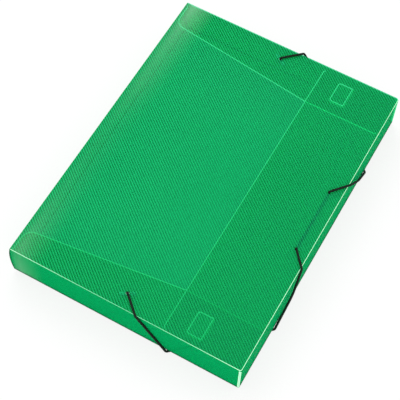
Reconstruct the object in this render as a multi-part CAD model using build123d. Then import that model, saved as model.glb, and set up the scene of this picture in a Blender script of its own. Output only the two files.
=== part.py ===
from build123d import *
import math
import os

os.makedirs("parts", exist_ok=True)

# A document box folded from one creased plastic sheet, with an elastic cord that holds its cover shut.
# Z is up, X runs from the spine to the fore edge and Y from the tail to the head, in millimetres.
# The model is drawn with x = 0 at the spine's outer face, and every piece is moved by CENTRE_X when
# it is written, so that the origin lies under the middle of the whole box.

# folded sheet
BOX_WIDTH = 233.0
BOX_LENGTH = 320.0
BOX_DEPTH = 40.0
SHEET = 0.8
CREASE_GAP = 0.05
PANEL_CLEARANCE = 0.3
SPINE_BULGE = 2.2
COVER_CORNER = 2.0

# flaps that close the tray under the cover
FLAP_DEPTH = 45.0
FLAP_DEPTH_AT_SPINE = 26.0
FLAP_SPINE_END = 1.0
FLAP_FORE_INSET = 3.0
FLAP_SPINE_CORNER = 10.0
FLAP_CORNER = 3.0
FORE_FLAP_DEPTH = 78.0
FORE_FLAP_INSET = 3.0
FLAP_GAP = 0.5

# locking tongues in the fore edge flap and the windows they are pressed into
TONGUE_DEPTH = 13.0
TONGUE_LENGTH = 21.0
TONGUE_FORE_INSET = 44.5
TONGUE_END_INSET = 18.0
TONGUE_CORNER = 1.5
TONGUE_CUT = 0.4
WINDOW_MARGIN = 1.0

# elastic cord, its holes in the cover and the metal barbs on its ends
CORD = 2.2
CORD_LAY = 0.1
CORD_HOLE = 3.2
END_HOLE_INSET = 15.0
END_HOLE_FROM_FORE = 120.2
FORE_HOLE_INSET = 12.4
FORE_HOLE_SPACING = 67.0
LEG_TOP_FROM_FORE = 102.8
LEG_BOTTOM_FROM_FORE = 72.5
FORE_LEG_BOTTOM_INSET = 65.5
FORE_LEG_LEAN = 45.0
EDGE_BEND = 3.0
HOLE_BEND = 1.5
LEG_OVERLAP = 4.0
UNDER_COVER_SPACE = 2.5
BARB_LENGTH = 15.0
BARB_WIDTH = 3.4
BARB_THICKNESS = 1.4
BARB_TURN = 30.0
BARB_BORE = 2.3

# heights and places, worked out from the above
BACK_BOTTOM = CORD + CORD_LAY
BACK_TOP = BACK_BOTTOM + SHEET
COVER_TOP = BACK_BOTTOM + BOX_DEPTH
COVER_BOTTOM = COVER_TOP - SHEET
FORE_FLAP_BOTTOM = COVER_BOTTOM - UNDER_COVER_SPACE - SHEET
END_FLAP_BOTTOM = FORE_FLAP_BOTTOM - FLAP_GAP - SHEET
HALF_LENGTH = BOX_LENGTH / 2
CENTRE_X = (BOX_WIDTH + CORD_LAY + CORD - SPINE_BULGE) / 2
FLAP_FORE_END = BOX_WIDTH - FLAP_FORE_INSET
FORE_FLAP_EDGE = BOX_WIDTH - FORE_FLAP_DEPTH
FORE_FLAP_HALF = HALF_LENGTH - FORE_FLAP_INSET
TONGUE_HINGE_X = BOX_WIDTH - TONGUE_FORE_INSET
TONGUE_Y = FORE_FLAP_HALF - TONGUE_END_INSET
END_HOLE_X = BOX_WIDTH - END_HOLE_FROM_FORE
END_HOLE_Y = HALF_LENGTH - END_HOLE_INSET
FORE_HOLE_X = BOX_WIDTH - FORE_HOLE_INSET
FORE_HOLE_Y = FORE_HOLE_SPACING / 2
FORE_LEG_BOTTOM_Y = HALF_LENGTH - FORE_LEG_BOTTOM_INSET
FORE_LEG_TOP_Y = FORE_LEG_BOTTOM_Y - FORE_LEG_LEAN

# the spine's inner face is an arc between its two creases
SPINE_MIDDLE = (BACK_TOP + COVER_BOTTOM) / 2
SPINE_HALF = (COVER_BOTTOM - BACK_TOP) / 2
SPINE_RADIUS = (SPINE_HALF**2 + SPINE_BULGE**2) / (2 * SPINE_BULGE)


def spine_inside(height):
    drop = SPINE_RADIUS - math.sqrt(SPINE_RADIUS**2 - (height - SPINE_MIDDLE) ** 2)
    return SHEET - SPINE_BULGE + drop


def save(name, shape):
    export_step(Pos(-CENTRE_X, 0, 0) * shape, f"parts/{name}.step")


def block(low, high):
    size = [b - a for a, b in zip(low, high)]
    return Pos(*low) * Box(*size, align=(Align.MIN, Align.MIN, Align.MIN))


def slab(outline, bottom, thickness=SHEET):
    return extrude(Pos(0, 0, bottom) * outline, thickness)


def corner_near(sketch, x, y):
    return sketch.vertices().sort_by_distance((x, y, 0))[0]


def upright(edges, thickness):
    face = Plane.XZ * make_face(edges)
    return extrude(Pos(0, HALF_LENGTH, 0) * face, thickness)


def rectangle(x0, x1, y0, y1):
    return Pos((x0 + x1) / 2, (y0 + y1) / 2) * Rectangle(x1 - x0, y1 - y0)


# panels of the sheet
def back_panel():
    edge = SHEET + CREASE_GAP
    y = HALF_LENGTH - edge
    return block((edge, -y, BACK_BOTTOM), (BOX_WIDTH - edge, y, BACK_TOP))


def spine_panel():
    low = BACK_TOP + CREASE_GAP
    high = COVER_BOTTOM - CREASE_GAP
    inner = [(spine_inside(z), z) for z in (low, SPINE_MIDDLE, high)]
    outer = [(x - SHEET, z) for x, z in reversed(inner)]
    sides = [ThreePointArc(*inner), ThreePointArc(*outer)]
    ends = [Line(inner[2], outer[0]), Line(outer[2], inner[0])]
    return upright(sides + ends, BOX_LENGTH)


def front_cover():
    outline = rectangle(SHEET + CREASE_GAP, BOX_WIDTH, -HALF_LENGTH, HALF_LENGTH)
    corners = outline.vertices().group_by(Axis.X)[-1]
    outline = fillet(corners, COVER_CORNER)
    for side in (1, -1):
        outline -= Pos(END_HOLE_X, side * END_HOLE_Y) * Circle(CORD_HOLE / 2)
        outline -= Pos(FORE_HOLE_X, side * FORE_HOLE_Y) * Circle(CORD_HOLE / 2)
    return slab(outline, COVER_BOTTOM)


def end_wall():
    low = BACK_TOP + CREASE_GAP
    high = END_FLAP_BOTTOM - CREASE_GAP
    middle = (low + high) / 2
    end = BOX_WIDTH - SHEET - PANEL_CLEARANCE
    curve = [(spine_inside(z) + PANEL_CLEARANCE, z) for z in (low, middle, high)]
    edges = [ThreePointArc(*curve), Line(curve[2], (end, high))]
    edges += [Line((end, high), (end, low)), Line((end, low), curve[0])]
    return upright(edges, SHEET)


def end_flap():
    crease = HALF_LENGTH - SHEET - CREASE_GAP
    inner = HALF_LENGTH - FLAP_DEPTH
    inner_at_spine = HALF_LENGTH - FLAP_DEPTH_AT_SPINE
    outline = make_face(
        Polyline(
            (FLAP_SPINE_END, crease),
            (FLAP_FORE_END, crease),
            (FLAP_FORE_END, inner),
            (FORE_FLAP_EDGE, inner),
            (FLAP_SPINE_END, inner_at_spine),
            close=True,
        )
    )
    outline = fillet(corner_near(outline, FLAP_FORE_END, inner), FLAP_CORNER)
    outline = fillet(corner_near(outline, FLAP_SPINE_END, inner_at_spine), FLAP_SPINE_CORNER)
    window = rectangle(
        TONGUE_HINGE_X - TONGUE_DEPTH - WINDOW_MARGIN,
        TONGUE_HINGE_X + WINDOW_MARGIN,
        TONGUE_Y - TONGUE_LENGTH / 2 - WINDOW_MARGIN,
        TONGUE_Y + TONGUE_LENGTH / 2 + WINDOW_MARGIN,
    )
    outline -= fillet(window.vertices(), TONGUE_CORNER)
    return slab(outline, END_FLAP_BOTTOM)


def fore_edge_wall():
    y = HALF_LENGTH - CREASE_GAP
    low = (BOX_WIDTH - SHEET, -y, BACK_TOP + CREASE_GAP)
    high = (BOX_WIDTH, y, FORE_FLAP_BOTTOM - CREASE_GAP)
    return block(low, high)


def tongue_outline(margin):
    x0 = TONGUE_HINGE_X - TONGUE_DEPTH - margin
    x1 = TONGUE_HINGE_X - (0 if margin else CREASE_GAP)
    half = TONGUE_LENGTH / 2 + margin
    outline = rectangle(x0, x1, TONGUE_Y - half, TONGUE_Y + half)
    return fillet(outline.vertices().group_by(Axis.X)[0], TONGUE_CORNER + margin)


def fore_edge_flap():
    fore_edge = BOX_WIDTH - SHEET - CREASE_GAP
    outline = rectangle(FORE_FLAP_EDGE, fore_edge, -FORE_FLAP_HALF, FORE_FLAP_HALF)
    outline = fillet(outline.vertices().group_by(Axis.X)[0], FLAP_CORNER)
    cut = tongue_outline(TONGUE_CUT)
    return slab(outline - cut - mirror(cut, Plane.XZ), FORE_FLAP_BOTTOM)


def locking_tongue():
    return slab(tongue_outline(0), FORE_FLAP_BOTTOM)


# elastic cord
TOP = COVER_TOP + CORD_LAY + CORD / 2
UNDER = COVER_BOTTOM - CORD_LAY - CORD / 2
FLOOR = CORD / 2
OUT = CORD_LAY + CORD / 2
BARB_TOP = COVER_BOTTOM - CORD_LAY
BARB_BOTTOM = BARB_TOP - BARB_THICKNESS

end_below = Vector(END_HOLE_X, END_HOLE_Y, BARB_BOTTOM)
end_above = Vector(END_HOLE_X, END_HOLE_Y, TOP)
wall_top = Vector(BOX_WIDTH - LEG_TOP_FROM_FORE, HALF_LENGTH + OUT, TOP)
wall_bottom = Vector(BOX_WIDTH - LEG_BOTTOM_FROM_FORE, HALF_LENGTH + OUT, FLOOR)
fore_bottom = Vector(BOX_WIDTH + OUT, FORE_LEG_BOTTOM_Y, FLOOR)
fore_top = Vector(BOX_WIDTH + OUT, FORE_LEG_TOP_Y, TOP)
fore_above = Vector(FORE_HOLE_X, FORE_HOLE_Y, TOP)
fore_below = Vector(FORE_HOLE_X, FORE_HOLE_Y, UNDER)


def other_side(point):
    return Vector(point.X, -point.Y, point.Z)


def along(start, end, distance=LEG_OVERLAP):
    return start + (end - start).normalized() * distance


def cord(name, points, bends):
    path = FilletPolyline(*points, radius=bends) if bends else Line(*points)
    section = Plane(origin=path @ 0, z_dir=path % 0) * Circle(CORD / 2)
    tube = sweep(section, path=path)
    ratio = tube.volume / (math.pi * CORD**2 / 4 * path.length)
    print(f"{name}: bends {bends} mm, length {path.length:.1f} mm, volume ratio {ratio:.4f}")
    return tube


def barb():
    plan = SlotOverall(BARB_LENGTH, BARB_WIDTH) - Circle(BARB_BORE / 2)
    return Pos(END_HOLE_X, END_HOLE_Y, BARB_BOTTOM) * Rot(0, 0, -BARB_TURN) * extrude(plan, BARB_THICKNESS)


def save_cord():
    end_leave = along(wall_top, end_above)
    leg_leave = along(wall_bottom, fore_bottom)
    fore_meet = along(fore_bottom, wall_bottom)
    fore_leave = along(fore_top, fore_above)
    routes = {
        "end": ([end_below, end_above, end_leave], [HOLE_BEND]),
        "leg": ([end_leave, wall_top, wall_bottom, leg_leave], [EDGE_BEND] * 2),
        "corner": ([leg_leave, fore_meet], []),
        "fore_leg": ([fore_meet, fore_bottom, fore_top, fore_leave], [EDGE_BEND] * 2),
    }
    for place, (points, bends) in routes.items():
        tube = cord(f"elastic_head_{place}", points, bends)
        save(f"elastic_head_{place}", tube)
        save(f"elastic_tail_{place}", mirror(tube, Plane.XZ))
    half = [fore_leave, fore_above, fore_below]
    points = half + [other_side(point) for point in reversed(half)]
    save("elastic_middle", cord("elastic_middle", points, [HOLE_BEND] * 4))


save("back_panel", back_panel())
save("spine_panel", spine_panel())
save("front_cover", front_cover())
save("fore_edge_wall", fore_edge_wall())
save("fore_edge_flap", fore_edge_flap())
pairs = {"wall": end_wall(), "flap": end_flap(), "locking_tongue": locking_tongue(), "barb": barb()}
for place, shape in pairs.items():
    save(f"head_{place}", shape)
    save(f"tail_{place}", mirror(shape, Plane.XZ))
save_cord()
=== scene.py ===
import math

import bmesh
import bpy
from mathutils import Matrix, Vector


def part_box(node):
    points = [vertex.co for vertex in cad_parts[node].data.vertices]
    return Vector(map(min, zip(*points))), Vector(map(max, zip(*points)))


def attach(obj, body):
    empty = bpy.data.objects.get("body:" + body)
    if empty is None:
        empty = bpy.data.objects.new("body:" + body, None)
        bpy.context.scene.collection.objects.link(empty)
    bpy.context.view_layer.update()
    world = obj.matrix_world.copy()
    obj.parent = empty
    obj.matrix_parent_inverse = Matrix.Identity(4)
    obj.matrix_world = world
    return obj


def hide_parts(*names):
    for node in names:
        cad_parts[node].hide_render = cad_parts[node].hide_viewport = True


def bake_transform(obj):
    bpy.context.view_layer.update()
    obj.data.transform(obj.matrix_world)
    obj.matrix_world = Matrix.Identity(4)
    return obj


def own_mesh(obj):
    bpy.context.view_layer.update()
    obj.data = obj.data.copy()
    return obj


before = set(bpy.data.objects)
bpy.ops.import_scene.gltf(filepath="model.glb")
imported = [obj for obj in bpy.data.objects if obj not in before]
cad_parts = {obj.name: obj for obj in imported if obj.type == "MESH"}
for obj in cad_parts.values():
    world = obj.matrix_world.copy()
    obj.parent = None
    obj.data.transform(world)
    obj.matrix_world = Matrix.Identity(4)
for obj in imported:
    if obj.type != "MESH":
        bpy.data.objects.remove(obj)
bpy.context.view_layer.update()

mm = 0.001

# the folded sheet and its cord in millimetres, as the frame has them
box = {"width": 233.0, "sheet": 0.8, "cord": 2.2, "lay": 0.1, "barb": 1.4}
backTop = (box["cord"] + box["lay"] + box["sheet"]) * mm
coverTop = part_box("front_cover")[1].z
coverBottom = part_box("front_cover")[0].z
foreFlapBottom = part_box("fore_edge_flap")[0].z
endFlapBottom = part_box("tail_flap")[0].z
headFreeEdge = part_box("head_flap")[0].y
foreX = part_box("fore_edge_wall")[1].x
spineX = foreX - box["width"] * mm
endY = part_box("head_wall")[1].y
sheet = box["sheet"] * mm


class Wire:  # a shader socket that can be used in Python sums
    def __init__(self, shader, socket):
        self.shader = shader
        self.socket = socket

    def __add__(self, other):
        return self.shader.math("ADD", self, other)

    def __radd__(self, other):
        return self.shader.math("ADD", other, self)

    def __sub__(self, other):
        return self.shader.math("SUBTRACT", self, other)

    def __rsub__(self, other):
        return self.shader.math("SUBTRACT", other, self)

    def __mul__(self, other):
        return self.shader.math("MULTIPLY", self, other)

    def __rmul__(self, other):
        return self.shader.math("MULTIPLY", other, self)

    def __truediv__(self, other):
        return self.shader.math("DIVIDE", self, other)

    def __rtruediv__(self, other):
        return self.shader.math("DIVIDE", other, self)

    def sin(self):
        return self.shader.math("SINE", self)

    def power(self, other):
        return self.shader.math("POWER", self, other)

    def clamp(self):
        return self.shader.node("ShaderNodeClamp", {}, {0: self})


class Shader:  # the nodes of one material or world, around its base node
    def __init__(self, owner, base, ending, **sockets):
        owner.use_nodes = True
        self.owner = owner
        self.nodes = owner.node_tree.nodes
        self.links = owner.node_tree.links
        self.base = self.nodes[base]
        self.ending = self.nodes[ending].inputs[0]
        self.set(**sockets)

    def set(self, **sockets):
        for key, value in sockets.items():
            self.feed(self.base.inputs[key.replace("_", " ")], value)

    def feed(self, socket, value):
        if isinstance(value, Wire):
            self.links.new(value.socket, socket)
        elif socket.type == "RGBA" and len(value) == 3:
            socket.default_value = (*value, 1.0)
        else:
            socket.default_value = value

    def node(self, kind, settings=None, inputs=None, out=0):
        made = self.nodes.new(kind)
        for key, value in (settings or {}).items():
            setattr(made, key, value)
        for key, value in (inputs or {}).items():
            self.feed(made.inputs[key], value)
        return Wire(self, made.outputs[out])

    def math(self, operation, *terms):
        return self.node("ShaderNodeMath", {"operation": operation}, dict(enumerate(terms)))

    def mix(self, factor, first, second):
        return self.node("ShaderNodeMix", {"data_type": "RGBA"}, {0: factor, 6: first, 7: second}, 2)

    def noise(self, scale, detail):
        inputs = {"Scale": scale, "Detail": detail, "Vector": self.place()}
        return self.node("ShaderNodeTexNoise", {}, inputs)

    def bump(self, height, strength, distance):
        inputs = {"Height": height, "Strength": strength, "Distance": distance}
        return self.node("ShaderNodeBump", {}, inputs, "Normal")

    def place(self):
        return self.node("ShaderNodeTexCoord", {}, {}, "Object")

    def part(self, vector, number):
        return self.node("ShaderNodeSeparateXYZ", {}, {0: vector}, number)

    def flat(self):  # the piece's place in the unfolded sheet, in millimetres
        uv = self.node("ShaderNodeUVMap", {"uv_map": "flat"})
        return self.part(uv, 0), self.part(uv, 1)

    def height(self):  # above the table, in millimetres
        return self.part(self.place(), 2) * (1 / mm)

    def seenDirectly(self):  # by the camera, or in metal and glass
        camera = self.node("ShaderNodeLightPath", {}, {}, "Is Camera Ray")
        glossy = self.node("ShaderNodeLightPath", {}, {}, "Is Glossy Ray")
        through = self.node("ShaderNodeLightPath", {}, {}, "Is Transmission Ray")
        return (camera + glossy + through).clamp()

    def blendInto(self, factor, first, second):  # two surfaces, or None for the base node's own
        own = Wire(self, self.base.outputs[0])
        both = self.node("ShaderNodeMixShader", {}, {0: factor, 1: first or own, 2: second or own})
        self.links.new(both.socket, self.ending)


def newFinish(name, **sockets):
    return Shader(bpy.data.materials.new(name), "Principled BSDF", "Material Output", **sockets)


# each panel's pale and deep green across the ribs, how much one face covers of what is seen through it, and
# the tint of the clear film that does the rest
greenLooks = {
    "cover": {
        "light": (0.030, 0.900, 0.370),
        "deep": (0.004, 0.120, 0.050),
        "film": (0.360, 0.920, 0.700),
        "covers": 0.27,
        "gloss": 0.015,
    },
    "flap": {
        "light": (0.006, 0.560, 0.160),
        "deep": (0.004, 0.520, 0.145),
        "film": (0.360, 0.920, 0.700),
        "covers": 0.32,
        "gloss": 0.015,
    },
    "wall": {
        "light": (0.004, 0.540, 0.185),
        "deep": (0.002, 0.430, 0.135),
        "film": (0.200, 0.920, 0.680),
        "covers": 0.48,
        "gloss": 0.0004,
    },
    "spine": {
        "light": (0.004, 0.540, 0.185),
        "deep": (0.002, 0.430, 0.135),
        "film": (0.200, 0.920, 0.680),
        "covers": 0.48,
        "gloss": 0.0004,
    },
    "back": {
        "light": (0.012, 0.560, 0.370),
        "deep": (0.008, 0.480, 0.320),
        "film": (0.360, 0.920, 0.700),
        "covers": 0.50,
        "gloss": 0.015,
    },
}
plastic = {"roughness": 0.32, "ior": 1.49}
ribs = {  # they show less towards the tail's fore corner
    "pitch": 2.3,
    "turn": 51.0,
    "height": 0.00012,
    "strength": 0.5,
    "contrast": 0.95,
    "clear": 0.82,
    "clearHead": 0.12,
    "clearFore": 0.22,
    "level": 0.45,
}
cloud = {"scale": 9.0, "detail": 3.0, "tone": 0.1, "relief": 1.5}
paintedSheen = {  # the painted sheen: a whitish band beside the spine, mixed into the base colour
    "colour": (0.420, 0.740, 0.520),
    "width": 34.0,
    "rise": 4.0,
    "fall": 1.6,
    "all": 0.12,
    "ends": 0.8,
    "head": 0.75,
    "scale": 16.0,
    "detail": 2.0,
    "patchy": 0.5,
}
# painted shade: the walls darken towards their bottom fold, and the dark rims and the creases along the back
# take this colour
paintedFoldShade = {"colour": (0.001, 0.120, 0.035), "height": 3.1, "shade": 2.5, "strength": 0.8}


def ribbedSheet(kind):
    look = greenLooks[kind]
    shader = newFinish(f"{kind}Green", Roughness=plastic["roughness"], IOR=plastic["ior"])
    shader.set(Specular_IOR_Level=look["gloss"])
    u, v = shader.flat()
    turn = math.radians(ribs["turn"])
    across = u * math.cos(turn) + v * math.sin(turn)
    rib = (across * (2 * math.pi / ribs["pitch"])).sin() * 0.5 + 0.5
    clear = v * (ribs["clearHead"] * mm / endY) - u * (ribs["clearFore"] * mm / foreX) + ribs["clear"]
    clouds = shader.noise(cloud["scale"], cloud["detail"])
    tone = (rib - 0.5) * clear * ribs["contrast"] + clouds * cloud["tone"] + ribs["level"]
    green = shader.mix(tone.clamp(), look["deep"], look["light"])
    # painted sheen: the whitish band beside the spine goes into the base colour
    tint = shader.mix(paintedSheenBand(shader, u, v), green, paintedSheen["colour"])
    # painted shade: walls darken towards their bottom fold
    if kind == "wall":
        above = shader.height() * (1 / paintedFoldShade["shade"]) - paintedFoldShade["height"] / paintedFoldShade["shade"]
        tint = shader.mix((1.0 - above).clamp() * paintedFoldShade["strength"], tint, paintedFoldShade["colour"])
    shader.set(Base_Color=tint)
    shader.set(Normal=shader.bump(rib + clouds * cloud["relief"], ribs["strength"], ribs["height"]))
    film = shader.node("ShaderNodeBsdfTransparent", {}, {"Color": look["film"]})
    shader.blendInto(look["covers"], film, None)
    return shader.owner


# the painted sheen's mask: a band beside the spine, stronger at both ends and towards the head, made patchy
def paintedSheenBand(shader, u, v):
    fromSpine = (u * (1 / paintedSheen["width"]) - spineX / mm / paintedSheen["width"]).clamp()
    band = (fromSpine * paintedSheen["rise"]).clamp() * (1.0 - fromSpine).power(paintedSheen["fall"])
    along = v / (endY / mm)
    ends = along * along * along * along
    patch = shader.noise(paintedSheen["scale"], paintedSheen["detail"])
    strength = paintedSheen["all"] + ends * paintedSheen["ends"] + along.clamp() * paintedSheen["head"]
    return (band * strength * (paintedSheen["patchy"] + patch)).clamp()


# the cut edges glow faintly as a painted highlight; "middle" ones dim to the cover's middle,
# "tail" ones towards the tail, as painted light
cut = {
    "pale": (0.560, 1.000, 0.680),
    "palest": (0.800, 1.000, 0.860),
    "dim": (0.060, 0.560, 0.260),
    "glow": 0.35,
    "flapGlow": 1.7,
    "alpha": 0.9,
    "denseAlpha": 0.95,
    "gloss": 0.015,
    "roughness": 0.28,
    "speckScale": 420.0,
    "speckDetail": 2.0,
    "speckDeep": 0.7,
    "dimmest": 0.2,
    "underStart": 77.0,
    "underEnd": 3.0,
    "hidden": 0.35,
}


def edgeShader(name, colour, alpha, glow, fade):
    shader = newFinish(name, Roughness=cut["roughness"], IOR=plastic["ior"], Alpha=alpha)
    speck = shader.noise(cut["speckScale"], cut["speckDetail"])
    tint = shader.mix((speck * 0.5).clamp(), colour, tuple(part * cut["speckDeep"] for part in colour))
    lit = tint
    # painted light: "middle" edges dim towards the cover's middle, "tail" edges towards the tail
    if fade:
        u, v = shader.flat()
        across = u / (foreX / mm)
        bright = across * across if fade == "middle" else v / (2 * endY / mm) + 0.5
        strength = bright * (1 - cut["dimmest"]) + cut["dimmest"]
        tint = shader.mix(strength.clamp(), cut["dim"], tint)
        lit = tint
    if fade == "tail":  # painted highlight: the head flap's free edge glows brighter where it shows through the fore edge flap as well
        under = (u * 0.5 - (foreX / mm - cut["underStart"]) * 0.5).clamp()
        free = (headFreeEdge / mm + cut["underEnd"] - v).clamp()
        lit = shader.mix(under * free * bright * (1 - cut["hidden"]) + cut["hidden"], (0, 0, 0), tint)
    # the emission is a painted highlight on the edges
    shader.set(Base_Color=tint, Emission_Color=lit, Emission_Strength=glow, Specular_IOR_Level=cut["gloss"])
    return shader.owner


greens = {kind: ribbedSheet(kind) for kind in greenLooks}
edgeHighlight = edgeShader("paintedEdgeHighlight", cut["pale"], cut["alpha"], cut["glow"], "")
coverEdgeHighlight = edgeShader("paintedCoverEdgeHighlight", cut["pale"], cut["alpha"], cut["glow"], "middle")
flapEdgeHighlight = edgeShader("paintedFlapEdgeHighlight", cut["palest"], cut["denseAlpha"], cut["flapGlow"], "tail")
# painted shade for the dark rims and for the creases along the back
paintedShadeEdge = edgeShader("paintedShadeEdge", paintedFoldShade["colour"], cut["denseAlpha"], 0.0, "")
print("plastic mixed")


def makeObject(name, shape, materials, smooth=30.0):
    mesh = bpy.data.meshes.new(name)
    shape.to_mesh(mesh)
    shape.free()
    for face in mesh.polygons:
        face.use_smooth = True
    mesh.set_sharp_from_angle(angle=math.radians(smooth))
    for material in materials:
        mesh.materials.append(material)
    made = bpy.data.objects.new(name, mesh)
    bpy.context.collection.objects.link(made)
    return made


def solidCopy(node):  # a frame solid's mesh, merged and freed of the lines across its flat faces
    shape = bmesh.new()
    shape.from_mesh(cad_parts[node].data)
    bmesh.ops.remove_doubles(shape, verts=shape.verts, dist=1e-6)
    bmesh.ops.dissolve_limit(shape, angle_limit=math.radians(0.5), verts=shape.verts, edges=shape.edges)
    return shape


def roundRims(shape, facts):
    rims = [edge for edge in shape.edges if len(edge.link_faces) == 2]
    rims = [edge for edge in rims if edge.calc_face_angle(0) > facts["sharp"]]
    bmesh.ops.bevel(
        shape, geom=rims, offset=facts["round"], segments=facts["steps"], profile=0.5, affect="EDGES",
        material=-1, clamp_overlap=True)


def unfold(shape, turned):  # writes where each corner lies in the flat sheet
    layer = shape.loops.layers.uv.new("flat")
    for face in shape.faces:
        for loop in face.loops:
            place = loop.vert.co
            loop[layer].uv = ((place.x + turned[0] * place.z) / mm, (place.y + turned[1] * place.z) / mm)


# each panel: its node, body and finish, how z unfolds into the sheet, its thin direction, the width of its
# rim, and the sides where the rim is pale with painted highlight and where it is dark with painted shade
# ("in" is a hole's rim)
panels = {
    "backPanel": ("back_panel", "back", "back", (0, 0), 2, 0.9, "", ""),
    "spinePanel": ("spine_panel", "spine", "spine", (1, 0), 0, 2.2, "", "y- y+"),
    "coverPanel": ("front_cover", "cover", "cover", (0, 0), 2, 0.35, "x+ y-", ""),
    "headWallPanel": ("head_wall", "head_wall", "wall", (0, -1), 1, 0.8, "x+", "z-"),
    "tailWallPanel": ("tail_wall", "tail_wall", "wall", (0, 1), 1, 0.8, "x+", "z-"),
    "foreWallPanel": ("fore_edge_wall", "fore_wall", "wall", (-1, 0), 0, 0.8, "y- y+", "z-"),
    "headFlapPanel": ("head_flap", "head_flap", "flap", (0, 0), 2, 0.7, "x- y- in", ""),
    "tailFlapPanel": ("tail_flap", "tail_flap", "flap", (0, 0), 2, 0.7, "x- y+ in", ""),
    "foreFlapPanel": ("fore_edge_flap", "fore_flap", "flap", (0, 0), 2, 0.6, "x- in", ""),
    "headTonguePanel": ("head_locking_tongue", "head_tongue", "flap", (0, 0), 2, 0.35, "", ""),
    "tailTonguePanel": ("tail_locking_tongue", "tail_tongue", "flap", (0, 0), 2, 0.35, "", ""),
}
panelCut = {"round": 0.2 * mm, "steps": 2, "sharp": 0.7, "near": 2.0 * mm, "wide": 0.9}
# the walls' tops stand up to the cover, and the flaps dip from them under the cord
shoulder = {"run": 2.2 * mm, "gap": 0.1 * mm, "top": 1.2 * mm}
wallFlaps = {"head_wall": "head_flap", "tail_wall": "tail_flap", "fore_edge_wall": "fore_edge_flap"}
flapSides = {  # each flap's wall and own body, and the direction of the wall
    "head_flap": ("head_wall", "head_flap", 1, 1),
    "tail_flap": ("tail_wall", "tail_flap", 1, -1),
    "fore_edge_flap": ("fore_wall", "fore_flap", 0, 1),
}


def edgeSides(place, low, high):  # the sides of the panel that a rim face lies on
    found = {f"{letter}-" for letter, at, end in zip("xyz", place, low) if at - end < panelCut["near"]}
    found |= {f"{letter}+" for letter, at, end in zip("xyz", place, high) if end - at < panelCut["near"]}
    return found


def lift(flap):
    return coverBottom - shoulder["gap"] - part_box(flap)[1].z


def raiseWall(shape, node):
    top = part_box(node)[1].z
    for vert in shape.verts:
        if vert.co.z > top - shoulder["top"]:
            vert.co.z += lift(wallFlaps[node])


def dipFlap(shape, node):  # gives the two ends of the dip, at the wall and on the flap
    axis, sign = flapSides[node][2:]
    start = max(vert.co[axis] * sign for vert in shape.verts) - shoulder["run"]
    across = Vector((0, 0, 0))
    across[axis] = sign
    geometry = list(shape.verts) + list(shape.edges) + list(shape.faces)
    bmesh.ops.bisect_plane(shape, geom=geometry, dist=1e-7, plane_co=across * start, plane_no=across)
    for vert in shape.verts:
        reach = (vert.co[axis] * sign - start) / shoulder["run"]
        vert.co.z += max(reach, 0) * lift(node)
    return across * (start + shoulder["run"]), across * start


def markRims(shape, node, thin, band, pale, dark):  # insets a rim and gives each side one of: the panel's green, the painted highlight, the painted shade
    low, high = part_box(node)
    wide = [face for face in shape.faces if abs(face.normal[thin]) > panelCut["wide"]]
    sides = set(shape.faces) - set(wide)
    ring = bmesh.ops.inset_region(
        shape, faces=wide, thickness=band * mm, use_boundary=True, use_even_offset=True)
    for face in list(ring["faces"]) + list(sides):
        centre = face.calc_center_median()
        centre[thin] = (low[thin] + high[thin]) / 2
        met = {side for side in edgeSides(centre, low, high) if side[0] != "xyz"[thin]} or {"in"}
        face.material_index = 1 if met & set(pale.split()) else 2 if met & set(dark.split()) else 0


def sheetPanel(name, node, body, finish, turned, thin, band, pale, dark):
    shape = solidCopy(node)
    shape.normal_update()
    markRims(shape, node, thin, band, pale, dark)
    if node in wallFlaps:
        raiseWall(shape, node)
    roundRims(shape, panelCut)
    ends = dipFlap(shape, node) if node in flapSides else None
    unfold(shape, turned)
    edges = {"cover": coverEdgeHighlight, "flap": flapEdgeHighlight}
    panel = makeObject(name, shape, [greens[finish], edges.get(finish, edgeHighlight), paintedShadeEdge])
    if ends:
        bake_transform(panel)
    else:
        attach(panel, body)
    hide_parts(node)


for name, facts in panels.items():
    sheetPanel(name, *facts)
print("panels dressed")


# creases: a rounded web fills the outside corner between two panels
web = {"steps": 6, "overlap": 5.0, "end": 0.2 * mm}
left = Vector((-1, 0, 0))
right = Vector((1, 0, 0))
up = Vector((0, 0, 1))
down = Vector((0, 0, -1))


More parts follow.
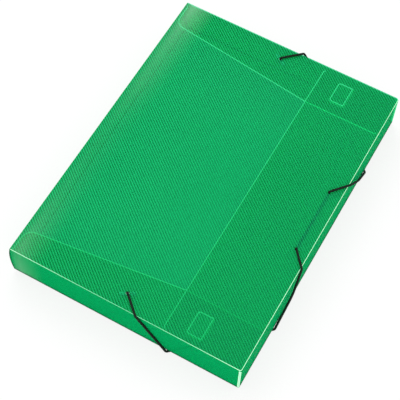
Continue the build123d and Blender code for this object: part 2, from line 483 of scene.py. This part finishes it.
def creaseWeb(name, bodies, pivot, outward, span, material):
    first, second = outward
    axis = first.cross(second)
    lap = math.radians(web["overlap"])
    shape = bmesh.new()
    rim = Matrix.Rotation(-lap, 3, axis) @ first * sheet
    ends = [shape.verts.new(pivot), shape.verts.new(pivot + rim)]
    edge = shape.edges.new(ends)
    bmesh.ops.spin(
        shape, geom=ends + [edge], cent=pivot, axis=axis, angle=math.pi / 2 + 2 * lap, steps=web["steps"])
    bmesh.ops.remove_doubles(shape, verts=shape.verts, dist=1e-7)
    start, stop = span
    grown = bmesh.ops.extrude_face_region(shape, geom=list(shape.faces))
    moved = [item for item in grown["geom"] if isinstance(item, bmesh.types.BMVert)]
    along = Vector([abs(part) for part in axis])
    bmesh.ops.translate(shape, verts=moved, vec=along * (stop - start))
    bmesh.ops.translate(shape, verts=shape.verts, vec=along * start)
    bmesh.ops.recalc_face_normals(shape, faces=shape.faces)
    unfold(shape, (0, 0))
    piece = makeObject(name, shape, [material])
    if len(bodies) == 2:
        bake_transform(piece)
    else:
        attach(piece, bodies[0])


def allWebs():
    innerSpine = spineX + sheet
    innerFore = foreX - sheet
    reach = endY - web["end"]
    whole = (-reach, reach)
    creaseWeb(
        "spineBackCrease", ("back", "spine"), Vector((innerSpine, 0, backTop)), (down, left), whole,
        greens["wall"])
    creaseWeb(
        "spineCoverCrease", ("spine", "cover"), Vector((innerSpine, 0, coverBottom)), (left, up), whole,
        greens["cover"])
    # this crease along the back takes the painted shade
    creaseWeb(
        "foreBackCrease", ("back", "fore_wall"), Vector((innerFore, 0, backTop)), (down, right),
        (-reach + sheet, reach - sheet), paintedShadeEdge)
    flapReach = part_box("fore_edge_flap")[1].y
    flapTop = foreFlapBottom + lift("fore_edge_flap")
    creaseWeb(
        "foreFlapCrease", ("fore_wall",), Vector((innerFore, 0, flapTop)), (right, up),
        (-flapReach, flapReach), greens["wall"])
    flapLow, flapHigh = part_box("tail_flap")
    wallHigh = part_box("tail_wall")[1].x
    for side, sign in (("head", 1), ("tail", -1)):
        out = Vector((0, sign, 0))
        innerEnd = sign * (endY - sheet)
        # these creases along the back take the painted shade
        creaseWeb(
            f"{side}BackCrease", ("back", f"{side}_wall"), Vector((0, innerEnd, backTop)), (down, out),
            (innerSpine, wallHigh), paintedShadeEdge)
        flapTop = endFlapBottom + lift(f"{side}_flap")
        creaseWeb(
            f"{side}FlapCrease", (f"{side}_wall",), Vector((0, innerEnd, flapTop)), (out, up),
            (flapLow.x, flapHigh.x), greens["wall"])


allWebs()
print("creases bridged")


# elastic cord: the same route as the frame's, in millimetres from the spine's outer face
elastic = {
    "radius": box["cord"] * mm / 2,
    "sides": 6,
    "smooth": 10,
    "sharp": 60.0,
    "keep": 0.02,
    "dark": (0.002, 0.005, 0.003),
    "thread": (0.010, 0.022, 0.014),
    "roughness": 0.8,
    "ior": 1.5,
    "gloss": 0.15,
    "plait": 1.6,
    "turns": 3,
    "relief": 0.8,
    "threadHeight": 0.0002,
    "endHole": (112.8, 145.0),
    "foreHole": (220.6, 33.5),
    "wallTop": 130.2,
    "wallBottom": 160.5,
    "foreBottom": 94.5,
    "foreTop": 49.5,
    "lap": 4.0,
    "bow": 2.0,
    "bowPlace": 0.4,
    "bowBend": 14.0,
    "bend": 2.4,
    "holeBend": 1.5,
}
halfCord = box["cord"] / 2
stand = box["lay"] + halfCord
overCover = coverTop / mm + stand
underCover = coverBottom / mm - stand


def elasticShader():
    shader = newFinish("blackElastic", Roughness=elastic["roughness"], IOR=elastic["ior"])
    around, along = shader.flat()
    lean = along * (2 * math.pi / elastic["plait"])
    turn = around * (2 * math.pi * elastic["turns"])
    rise = (lean + turn).sin() * (lean - turn).sin()
    thread = (rise * 0.5 + 0.5).clamp()
    shader.set(Base_Color=shader.mix(thread, elastic["dark"], elastic["thread"]))
    shader.set(Normal=shader.bump(thread, elastic["relief"], elastic["threadHeight"]))
    shader.set(Specular_IOR_Level=elastic["gloss"])
    return shader.owner


blackElastic = elasticShader()


def atRow(point, sign):  # a route point at the head or tail, in the frame's metres
    return Vector((point[0] * mm + spineX, sign * point[1] * mm, point[2] * mm))


def routeWithBends(points, bends):  # a point each side of every bend keeps the runs straight
    route = [points[0]]
    for before, point, after, bend in zip(points, points[1:], points[2:], bends):
        route.append(point + (before - point).normalized() * bend)
        route.append(point)
        route.append(point + (after - point).normalized() * bend)
    return route + [points[-1]]


def cordCurve(points, radius):
    curve = bpy.data.curves.new("route", "CURVE")
    curve.dimensions = "3D"
    spline = curve.splines.new("NURBS")
    spline.points.add(len(points) - 1)
    for knot, point in zip(spline.points, points):
        knot.co = (*point, 1)
    spline.order_u = 3
    spline.use_endpoint_u = True
    curve.resolution_u = elastic["smooth"]
    curve.bevel_depth = radius
    curve.bevel_resolution = elastic["sides"] if radius else 0
    curve.use_fill_caps = True
    holder = bpy.data.objects.new("route", curve)
    mesh = bpy.data.meshes.new_from_object(holder)
    bpy.data.objects.remove(holder)
    return mesh


def markLength(shape, line):  # writes turns round the cord and millimetres along it
    ringSize = len(shape.verts) // len(line.vertices)
    travelled = [0.0]
    for first, second in zip(line.vertices, line.vertices[1:]):
        travelled.append(travelled[-1] + (second.co - first.co).length / mm)
    layer = shape.loops.layers.uv.new("flat")
    shape.verts.index_update()
    for face in shape.faces:
        turns = [loop.vert.index % ringSize / ringSize for loop in face.loops]
        wraps = len(face.verts) == 4 and max(turns) - min(turns) > 0.5
        for loop, turn in zip(face.loops, turns):
            ring = min(loop.vert.index // ringSize, len(travelled) - 1)
            loop[layer].uv = (turn + 1 if wraps and turn < 0.5 else turn, travelled[ring])
    return travelled[-1]


def elasticPiece(name, points, bends, body, nodes):
    route = routeWithBends(points, bends)
    line = cordCurve(route, 0)
    shape = bmesh.new()
    shape.from_mesh(cordCurve(route, elastic["radius"]))
    length = markLength(shape, line)
    piece = makeObject(name, shape, [blackElastic], elastic["sharp"])
    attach(piece, body)
    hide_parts(*nodes)
    print(f"{name}: {length:.1f} mm long")
    return piece


def lapTowards(start, end):
    return start + (end - start).normalized() * elastic["lap"] * mm


def elasticRoute(sign):
    wallOut = endY / mm + stand
    foreOut = box["width"] + stand
    bowY = elastic["foreTop"] + elastic["bowPlace"] * (elastic["foreBottom"] - elastic["foreTop"])
    bowZ = overCover + elastic["bowPlace"] * (halfCord - overCover)
    barbBottom = coverBottom / mm - box["lay"] - box["barb"]
    return {
        "below": atRow((*elastic["endHole"], barbBottom), sign),
        "above": atRow((*elastic["endHole"], overCover), sign),
        "wallTop": atRow((elastic["wallTop"], wallOut, overCover), sign),
        "wallBottom": atRow((elastic["wallBottom"], wallOut, halfCord), sign),
        "foreBottom": atRow((foreOut, elastic["foreBottom"], halfCord), sign),
        "foreMiddle": atRow((foreOut + elastic["bow"], bowY, bowZ), sign),
        "foreTop": atRow((foreOut, elastic["foreTop"], overCover), sign),
        "foreAbove": atRow((*elastic["foreHole"], overCover), sign),
        "foreBelow": atRow((*elastic["foreHole"], underCover), sign),
    }


def allElastic():
    bend = elastic["bend"] * mm
    tight = elastic["holeBend"] * mm
    middle = []
    for side, sign in (("head", 1), ("tail", -1)):
        at = elasticRoute(sign)
        leave = lapTowards(at["wallTop"], at["above"])
        arrive = lapTowards(at["foreTop"], at["foreAbove"])
        elasticPiece(
            f"{side}ElasticEnd", [at["below"], at["above"], leave], [tight], "cover", [f"elastic_{side}_end"])
        corners = ("wallTop", "wallBottom", "foreBottom", "foreMiddle", "foreTop")
        loop = [leave] + [at[corner] for corner in corners] + [arrive]
        bends = [bend, bend, bend, elastic["bowBend"] * mm, bend]
        piece = elasticPiece(
            f"{side}ElasticLoop", loop, bends, "cover",
            [f"elastic_{side}_{part}" for part in ("leg", "corner", "fore_leg")])
        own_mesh(piece)
        half = [arrive, at["foreAbove"], at["foreBelow"]]
        middle += half if side == "head" else half[::-1]
    elasticPiece("elasticMiddle", middle, [tight] * 4, "cover", ["elastic_middle"])


allElastic()
print("elastic laid")


# barbs on the ends of the elastic
barb = {
    "round": 0.45 * mm,
    "steps": 3,
    "sharp": 0.9,
    "steel": (0.42, 0.43, 0.42),
    "worn": (0.24, 0.25, 0.25),
    "scratchScale": 900.0,
    "scratchDetail": 4.0,
    "relief": 0.3,
    "scratchHeight": 0.00005,
    "roughness": 0.22,
    "rougher": 0.25,
}


def steelShader():
    shader = newFinish("platedSteel", Metallic=1.0)
    scratch = shader.noise(barb["scratchScale"], barb["scratchDetail"])
    shader.set(Base_Color=shader.mix(scratch, barb["steel"], barb["worn"]))
    shader.set(Roughness=barb["roughness"] + scratch * barb["rougher"])
    shader.set(Normal=shader.bump(scratch, barb["relief"], barb["scratchHeight"]))
    return shader.owner


platedSteel = steelShader()


def steelBarb(side):
    shape = solidCopy(f"{side}_barb")
    roundRims(shape, barb)
    piece = makeObject(f"{side}SteelBarb", shape, [platedSteel])
    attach(piece, "cover")
    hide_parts(f"{side}_barb")


for side in ("head", "tail"):
    steelBarb(side)
print("barbs crimped")


# room: a white floor, soft lamps and the camera of the photograph
studio = {
    "floorSize": 6.0,
    "floorWhite": (0.93, 0.93, 0.93),
    "floorRoughness": 0.9,
    "white": (1.0, 1.0, 1.0),
    "cameraWhite": 0.8,
    "worldLight": 0.85,
    "lamps": {
        "keyLamp": {"place": (-0.9, 0.9, 1.5), "size": 1.2, "power": 14.0},
        "fillLamp": {"place": (0.9, -1.3, 1.1), "size": 1.4, "power": 8.0},
    },
    "cameraPlace": (0.2502, -0.5147, 0.9920),
    "cameraTowards": (-0.2239, 0.4412, -0.8690),
    "cameraUp": (-0.4340, 0.7533, 0.4942),
    "lens": 108.3,
    "sensor": 36.0,
    "farthest": 20.0,
}


def whiteFloor():
    shape = bmesh.new()
    bmesh.ops.create_grid(shape, x_segments=1, y_segments=1, size=studio["floorSize"])
    shader = newFinish("whiteFloor", Base_Color=studio["floorWhite"], Roughness=studio["floorRoughness"])
    white = shader.node("ShaderNodeEmission", {}, {"Color": studio["white"], "Strength": 1.0})
    shader.blendInto(shader.seenDirectly() * studio["cameraWhite"], None, white)
    floor = makeObject("whiteFloor", shape, [shader.owner])


def paleRoom():
    world = bpy.data.worlds.new("paleRoom")
    shader = Shader(world, "Background", "World Output", Color=studio["white"], Strength=studio["worldLight"])
    bright = shader.node("ShaderNodeBackground", {}, {"Color": studio["white"], "Strength": 1.0})
    shader.blendInto(shader.seenDirectly(), None, bright)
    bpy.context.scene.world = world


def softLamps():
    for name, facts in studio["lamps"].items():
        light = bpy.data.lights.new(name, "AREA")
        light.size = facts["size"]
        light.energy = facts["power"]
        lamp = bpy.data.objects.new(name, light)
        lamp.location = facts["place"]
        lamp.rotation_euler = Vector(facts["place"]).to_track_quat("Z", "Y").to_euler()
        bpy.context.collection.objects.link(lamp)


def photoCamera():
    data = bpy.data.cameras.new("photoCamera")
    data.lens = studio["lens"]
    data.sensor_width = studio["sensor"]
    data.clip_end = studio["farthest"]
    camera = bpy.data.objects.new("photoCamera", data)
    bpy.context.collection.objects.link(camera)
    back = -Vector(studio["cameraTowards"]).normalized()
    side = Vector(studio["cameraUp"]).cross(back).normalized()
    turned = Matrix((side, back.cross(side), back)).transposed().to_4x4()
    camera.matrix_world = Matrix.Translation(studio["cameraPlace"]) @ turned
    bpy.context.scene.camera = camera


whiteFloor()
paleRoom()
softLamps()
photoCamera()
bpy.context.scene.view_settings.view_transform = "Standard"
print("room lit")

bpy.context.view_layer.update()
